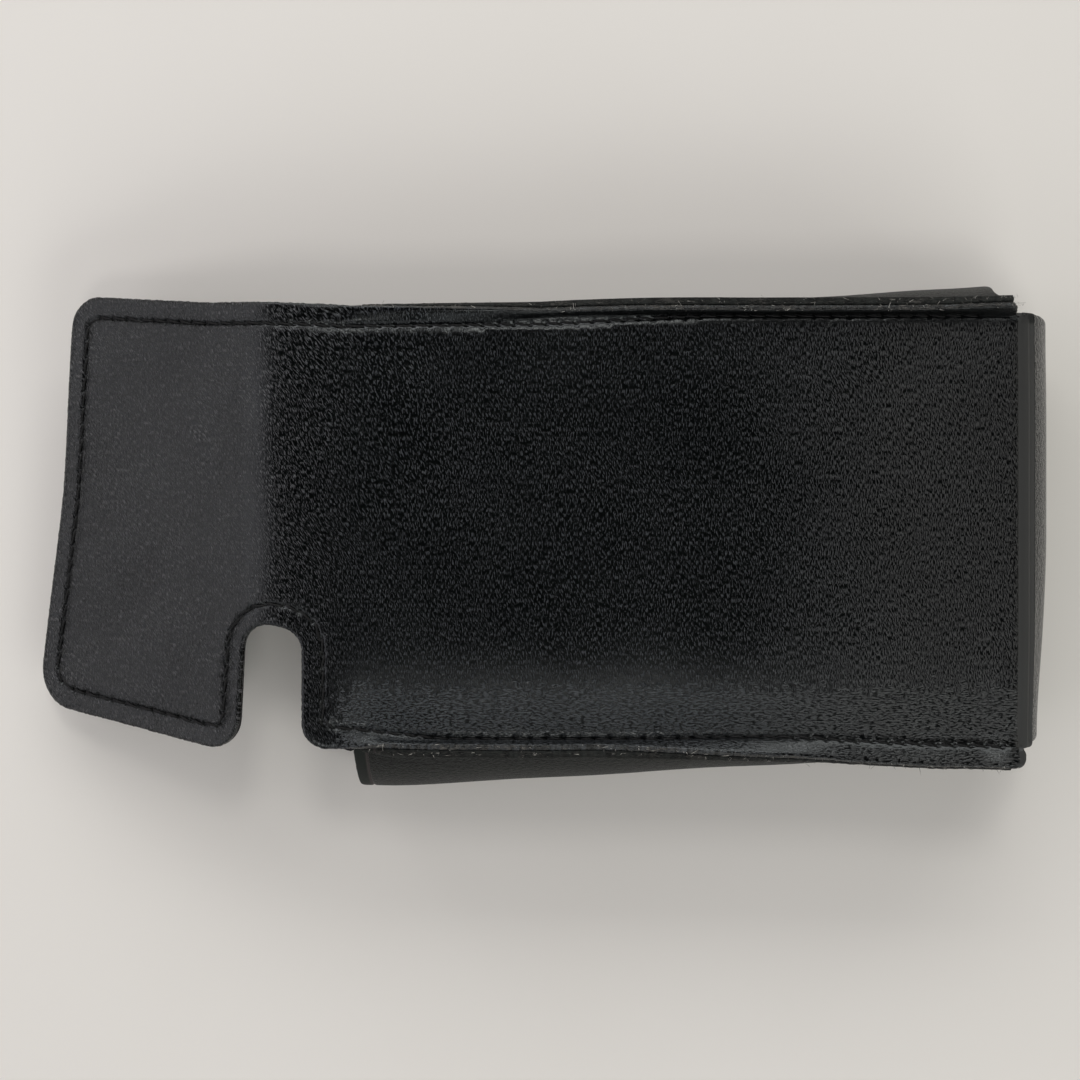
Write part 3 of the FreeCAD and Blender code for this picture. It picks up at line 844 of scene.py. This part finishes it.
def grid_sheet(name, flesh, grain, pattern, rim=0.09):
    """Closed mesh between two grids of points, with rounded raw edges."""
    nx, ny = flesh.shape[:2]
    border = ([(i, 0) for i in range(nx)] + [(nx - 1, j) for j in range(1, ny)]
              + [(i, ny - 1) for i in range(nx - 2, -1, -1)] + [(0, j) for j in range(ny - 2, 0, -1)])
    faces = []
    for i in range(nx - 1):
        for j in range(ny - 1):
            a, b, c, d = i * ny + j, (i + 1) * ny + j, (i + 1) * ny + j + 1, i * ny + j + 1
            faces.append((a, b, c, d))
            faces.append(tuple(v + nx * ny for v in (d, c, b, a)))
    middle = (flesh + grain) / 2
    ragged = np.random.default_rng(12)
    walls, wall_pattern = [], []
    for share in (0.25, 0.5, 0.75):
        for i, j in border:
            inner = (min(max(i, 1), nx - 2), min(max(j, 1), ny - 2))
            push = middle[i, j] - middle[inner]
            push = push / max(np.linalg.norm(push), 1e-9) * rim * ragged.uniform(0.3, 1.9)
            walls.append(flesh[i, j] * (1 - share) + grain[i, j] * share + push)
            wall_pattern.append(pattern[i, j] + [0, 0, 1.2 * share])
    count = len(border)
    loops = [[i * ny + j for i, j in border]]
    loops += [[2 * nx * ny + k * count + i for i in range(count)] for k in range(3)]
    loops.append([i * ny + j + nx * ny for i, j in border])
    for first, second in zip(loops, loops[1:]):
        for i in range(count):
            j = (i + 1) % count
            faces.append((first[i], second[i], second[j], first[j]))
    co = np.vstack([flesh.reshape(-1, 3), grain.reshape(-1, 3), walls])
    flat = np.vstack([pattern.reshape(-1, 3), pattern.reshape(-1, 3), wall_pattern])
    rough = np.concatenate([np.zeros(2 * nx * ny), np.ones(3 * count)])
    return finish_mesh(name, co, faces, flat, rough)


columns = np.concatenate([[0, 0.0012, 0.003], np.linspace(0.007, 0.028, 14),
                          np.linspace(0.032, 0.992, 150), [0.997, 1.0]])
channel_flesh, channel_grain, channel_pattern = channel_grid(columns)
channel = grid_sheet("channel", channel_flesh, channel_grain, channel_pattern)


def channel_zones(along, across, patch):
    """The channel's creased mouth band, with a painted highlight along its crease line; the rest of its
    grain is drawn along the walls.
    """
    pressed = along.step(crease_in + 0.1, crease_in - 0.2)
    # Painted highlight: a lighter pinkish line along the hot crease.
    line = along.step(crease_in - 0.5, crease_in - 0.15) * along.step(crease_in + 0.3, crease_in)
    return pressed, across.step(-80.0, -70.0), patch.step(0.35, 0.6), line * 0.8, 1.0, 0.0, 0.5, 0.0, 0.0


channel_tones = ((0.010, 0.0118, 0.0108), (0.017, 0.019, 0.0175))
# The third colour below is the painted highlight for the channel's crease line.
channel_leather = leather_material("channel_leather", channel_tones, channel_zones,
                                   ((0.07, 0.068, 0.064), lambda along: along.step(-9.0, -8.0)),
                                   (0.05, 0.042, 0.042), depth=0.00012, gloss=0.42, shine=0.12)
channel.data.materials.append(channel_leather)
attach(channel, "pouch")
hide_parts("channel_leather")

# ---------------------------------------------------------------------------------------------
# The lining: napped black suede cloth bonded to the flesh side of both leathers, cut flush with
# the flap's edges and stopped short of the pinched seams.
# ---------------------------------------------------------------------------------------------
lining_half = seam_y - lining_margin
lining_corners = [
    *flap_corners[:5],
    (mouth_s + 1.4, flap_upper, 0.6),
    (mouth_s + 0.4, lining_half, 0.5),
    (wall_end_s + 4.5, lining_half, 1.0),
    (wall_end_s + 4.5, -lining_half + 1.5, 1.0),
    (mouth_s + 0.4, -lining_half, 0.5),
    (mouth_s + 1.4, flap_lower, 0.6),
    *notch_corners[3:6],
    (17.2, -14.6, 4.4),
    notch_corners[-1],
]


def suede_material():
    """Napped black cloth, brushed lighter in places."""
    made, start, surface = material("suede_lining")
    where = start.node("ShaderNodeTexCoord", {}, output=3)
    nap = noise(where, 2600.0, 3.0)
    brushed = noise(where, 90.0, 3.0)
    colour = mixed(start, (nap * 0.5 + brushed * 0.6).clamp(), (0.006, 0.006, 0.007), (0.030, 0.029, 0.031))
    bump = start.node("ShaderNodeBump", {}, {"Strength": 0.8, "Distance": 0.00006,
                                             "Height": nap + brushed * 0.6})
    feed(surface, Base_Color=colour, Roughness=0.92, Normal=bump, Sheen_Weight=0.25,
         Sheen_Roughness=0.4, Specular_IOR_Level=0.2)
    return made


suede = suede_material()
lining_loop = outline(lining_corners, 0.6)
for name, low, high, blended, nodes in (
        ("back_suede", None, SPLIT, fold_blend, ("back_lining", "flap_wall_lining")),
        ("flap_suede", SPLIT, None, tip_blend, ("flap_tip_lining",))):
    loop, cut = cut_loop(lining_loop, low, high, 0.6)
    piece = sheet(name, loop, cut, [], 1.2, lambda s, y: 0 * s - 0.02, lambda s, y: 0 * s - LINING,
                  rim=0.04)
    piece.data.materials.append(suede)
    blended(piece)
    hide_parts(*nodes)

inside = slice(14, channel_flesh.shape[1] - 14)
toward = channel_flesh - channel_grain
toward /= np.linalg.norm(toward, axis=2)[:, :, None]
lined = channel_flesh[1:-1, inside] + 0.02 * toward[1:-1, inside]
inner = channel_flesh[1:-1, inside] + LINING * toward[1:-1, inside]
for face in (lined, inner):
    face[:, :, 0] = np.minimum(face[:, :, 0], end_x - 0.6)
channel_suede = grid_sheet("channel_suede", inner, lined, channel_pattern[1:-1, inside], rim=0.03)
channel_suede.data.materials.append(suede)
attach(channel_suede, "pouch")
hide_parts("channel_lining")

# ---------------------------------------------------------------------------------------------
# The stitching: waxed black thread in a lockstitch 2.8 mm long, pulled down into the leather, so
# each stitch dives into its needle hole. One line runs round the flap and down both seams.
# ---------------------------------------------------------------------------------------------


def tube(points, radius, sides, faces, verts):
    """Adds a round thread along points to a list of faces and vertices."""
    points = np.asarray(points)
    along = np.gradient(points, axis=0)
    along /= np.linalg.norm(along, axis=1)[:, None]
    helper = np.array([0.13, 0.31, 0.94])
    first = np.cross(along, helper)
    first /= np.linalg.norm(first, axis=1)[:, None]
    second = np.cross(along, first)
    base = len(verts)
    for k, point in enumerate(points):
        r = radius[k]
        for i in range(sides):
            a = 2 * math.pi * i / sides
            verts.append(point + r * (math.cos(a) * first[k] + math.sin(a) * second[k]))
    for k in range(len(points) - 1):
        for i in range(sides):
            j = (i + 1) % sides
            a, b = base + k * sides, base + (k + 1) * sides
            faces.append((a + i, a + j, b + j, b + i))
    faces.append(tuple(base + i for i in range(sides))[::-1])
    faces.append(tuple(base + (len(points) - 1) * sides + i for i in range(sides)))


STITCH = np.array([(-0.42, 0.13), (-0.40, 0.17), (-0.30, 0.19), (-0.1, 0.19), (0.0, 0.18),
                   (0.1, 0.19), (0.30, 0.19), (0.40, 0.17), (0.42, 0.13)])
STITCH_RISE = [-0.62, -0.36, -0.18, -0.06, -0.03, -0.06, -0.18, -0.36, -0.62]


def stitches(name, low, high, faces_out, sunk=0.0):
    """Mesh of the stitches whose middles lie between two places along the hide."""
    verts, faces = [], []
    for a, b in zip(holes, holes[1:]):
        middle = (a + b) / 2
        if not low <= middle[0] < high:
            continue
        slant = np.array([-(b - a)[1], (b - a)[0]]) * random.uniform(0.05, 0.13)
        ends = [a + (b - a) * (0.5 + 1.04 * share) + slant * 2 * share for share, _ in STITCH]
        s, y = np.array(ends).T
        for base, sign in faces_out:
            height = base + sign * (np.array(STITCH_RISE) + random.uniform(-0.05, 0.03))
            height = height - sunk
            tube(place(s, y, height), STITCH[:, 1], 8, faces, verts)
    return plain_mesh(name, verts, faces)


def thread_material():
    """Waxed black thread with a fine twist."""
    made, start, surface = material("waxed_thread")
    where = start.node("ShaderNodeTexCoord", {}, output=3)
    twist = start.node("ShaderNodeTexWave", {"wave_type": "BANDS", "bands_direction": "DIAGONAL"},
                       {"Vector": where, "Scale": 900.0, "Distortion": 1.5})
    colour = mixed(start, twist, (0.002, 0.002, 0.002), (0.008, 0.008, 0.009))
    bump = start.node("ShaderNodeBump", {}, {"Strength": 0.6, "Distance": 0.00004, "Height": twist})
    feed(surface, Base_Color=colour, Roughness=0.6, Normal=bump, Specular_IOR_Level=0.2)
    return made


thread = thread_material()


both_faces = ((LEATHER, 1), (0.08 - LINING, -1))   # height of each face, and which way is out
grain_face = both_faces[:1]

for name, low, high, holder, nodes in (
        ("seam_stitches", end_s, mouth_s, None, ("upper_seam_thread", "lower_seam_thread")),
        ("flap_wall_stitches", mouth_s, SPLIT, fold_blend, ("flap_wall_thread",)),
        ("flap_tip_stitches", SPLIT, 80.0, tip_blend, ("flap_tip_thread",))):
    if holder:
        piece = stitches(name, low, high, both_faces)
    else:
        piece = stitches(name, low, high, grain_face, sunk=0.12)
    piece.data.materials.append(thread)
    if holder:
        holder(piece)
    else:
        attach(piece, "pouch")
    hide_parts(*nodes)

# ---------------------------------------------------------------------------------------------
# The end seam's stitches: the same thread, run along the flange outside the end fold, where the
# end wall's foot is sewn down onto the front panel's.
# ---------------------------------------------------------------------------------------------
end_seam_s = wall_end_s + 1.2
end_margin = 2.0                             # the stitches stop this far from the seam's ends
end_stitches = int((2 * front_half - 2 * end_margin) / stitch_pitch)


def end_stitch_mesh():
    """Mesh of the stitches across the hide, on the end wall's foot."""
    verts, faces = [], []
    for number in range(end_stitches):
        y = (number - (end_stitches - 1) / 2) * stitch_pitch + STITCH[:, 0] * stitch_pitch * 1.04
        s = end_seam_s + STITCH[:, 0] * random.uniform(0.3, 0.7)
        height = LEATHER - 0.1 + np.array(STITCH_RISE) + random.uniform(-0.05, 0.03)
        tube(place(s, y, height), STITCH[:, 1], 8, faces, verts)
    return plain_mesh("end_stitches", verts, faces)


piece = end_stitch_mesh()
piece.data.materials.append(thread)
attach(piece, "pouch")
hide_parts("end_seam_thread")

# ---------------------------------------------------------------------------------------------
# Loose fibres: the seams' raw edges are left unpainted, so wear has teased grey collagen fibres
# out of both layers. They are fine hairs up to 1.6 mm long, rooted in the cut edges.
# ---------------------------------------------------------------------------------------------


def fibre_tufts(name, count):
    """Mesh of hairs standing in the pinched seams' raw edges."""
    verts, faces = [], []
    for _ in range(count):
        side = random.choice((-1, 1))
        where = random.random()
        where = where if side < 0 or random.random() < 0.5 else where ** 0.4
        s = mouth_s - 1 + (end_s + 0.6 - mouth_s) * where
        rim = float(edge_at(s, side))
        depth = random.choice((random.uniform(0.15, 1.05), random.uniform(-1.0, -0.2)))
        root, before = place([s, s], [side * (rim - 0.1), side * (rim - 0.9)], [depth, depth])
        out = (root - before) / np.linalg.norm(root - before)
        sway = np.array([random.gauss(0, 1.0), random.gauss(0, 0.45), random.gauss(0.1, 0.45)])
        length = random.uniform(0.3, 1.0) * random.choice((0.6, 0.8, 1.6))
        t = np.linspace(0, 1, 5)[:, None]
        hair = root + length * (0.45 * t * out + 0.6 * t ** 1.7 * sway)
        tube(hair, [0.045, 0.042, 0.038, 0.03, 0.015], 4, faces, verts)
    return plain_mesh(name, verts, faces)


def fibre_material():
    """Grey fibres, some of them bleached."""
    made, start, surface = material("loose_fibre")
    where = start.node("ShaderNodeTexCoord", {}, output=3)
    mix = noise(where, 700.0, 1.0)
    colour = mixed(start, mix.step(0.4, 0.65), (0.05, 0.045, 0.042), (0.48, 0.47, 0.44))
    feed(surface, Base_Color=colour, Roughness=0.8)
    return made


random.seed(23)
fibres = fibre_tufts("seam_fibres", 850)
fibres.data.materials.append(fibre_material())
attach(fibres, "pouch")

# ---------------------------------------------------------------------------------------------
# The closure: a nickel-plated magnet in the flap tip and a thin steel keeper behind the front
# leather, both sealed between leather and lining.
# ---------------------------------------------------------------------------------------------


def plate_material(name, tone):
    """Brushed metal of a tone."""
    made, start, surface = material(name)
    where = start.node("ShaderNodeTexCoord", {}, output=3)
    brushed = noise(where, 900.0, 2.0)
    colour = mixed(start, brushed, [0.8 * c for c in tone], tone)
    feed(surface, Base_Color=colour, Metallic=1.0, Roughness=brushed * 0.2 + 0.25)
    return made


for node, tone in (("keeper_plate", (0.45, 0.45, 0.46)), ("flap_magnet", (0.42, 0.41, 0.40))):
    plate = frame["nodes"][node]
    plate.data.materials.clear()
    plate.data.materials.append(plate_material(node, tone))

# ---------------------------------------------------------------------------------------------
# The table, the lamps and the camera: a pale matt table top, soft windows low on all sides with
# two small lamps over them, and a camera that looks straight down on the back panel.
# ---------------------------------------------------------------------------------------------
bpy.ops.mesh.primitive_plane_add(size=3.0, location=(0, 0, 0))
table = bpy.context.object
table.name = "table"
made, start, surface = material("table_top")
where = start.node("ShaderNodeTexCoord", {}, output=3)
mottle = noise(where, 9.0, 3.0)
colour = mixed(start, mottle, (0.67, 0.65, 0.62), (0.72, 0.70, 0.68))
feed(surface, Base_Color=colour, Roughness=0.6)
table.data.materials.append(made)

scene = bpy.context.scene
world = bpy.data.worlds.new("room")
world.use_nodes = True
world.node_tree.nodes["Background"].inputs["Color"].default_value = (0.9, 0.95, 1.0, 1)
world.node_tree.nodes["Background"].inputs["Strength"].default_value = 0.02
scene.world = world


def lamp(name, azimuth, elevation, distance, width, height, power, tint):
    """A soft rectangular lamp aimed at the case."""
    data = bpy.data.lights.new(name, "AREA")
    data.shape = "RECTANGLE"
    data.size, data.size_y = width, height
    data.energy = power
    data.color = tint
    a, e = math.radians(azimuth), math.radians(elevation)
    spot = Vector((math.cos(a) * math.cos(e), math.sin(a) * math.cos(e), math.sin(e))) * distance
    placed = bpy.data.objects.new(name, data)
    placed.location = spot
    placed.rotation_euler = (-spot).to_track_quat("-Z", "Y").to_euler()
    scene.collection.objects.link(placed)


lamp("back_window", 90, 30, 1.4, 2.0, 0.6, 14.5, (1.0, 0.99, 0.955))
lamp("back_lamp", 90, 59, 1.5, 0.3, 0.3, 2.5, (1.0, 0.98, 0.93))
lamp("back_left_window", 125, 32, 1.4, 1.2, 0.6, 2.6, (1.0, 0.97, 0.98))
lamp("front_right_window", -55, 32, 1.4, 1.2, 0.6, 8.2, (0.98, 0.99, 0.94))
lamp("front_left_window", -125, 32, 1.4, 1.2, 0.6, 2.6, (0.98, 0.98, 0.99))
lamp("front_lamp", -90, 66, 1.5, 0.3, 0.3, 2.2, (1.0, 0.98, 0.93))
lamp("left_window", 180, 34, 1.3, 1.5, 0.7, 6.2, (1.0, 0.955, 0.995))
lamp("right_wall", 0, 28, 1.3, 1.6, 0.6, 2.2, (1.0, 0.95, 0.85))

camera_data = bpy.data.cameras.new("camera")
camera = bpy.data.objects.new("camera", camera_data)
camera_height = 300.0                        # over the back panel
view_width = 1080 * 0.168                    # of the back panel's plane, in millimetres
camera.location = ((mouth_x + 30.0) * MM, -1.6 * MM, (top_z + camera_height) * MM)
camera_data.sensor_width = 36.0
camera_data.lens = 36.0 * camera_height / view_width
camera_data.clip_start = 0.01
scene.collection.objects.link(camera)
scene.camera = camera
scene.view_settings.view_transform = "Standard"
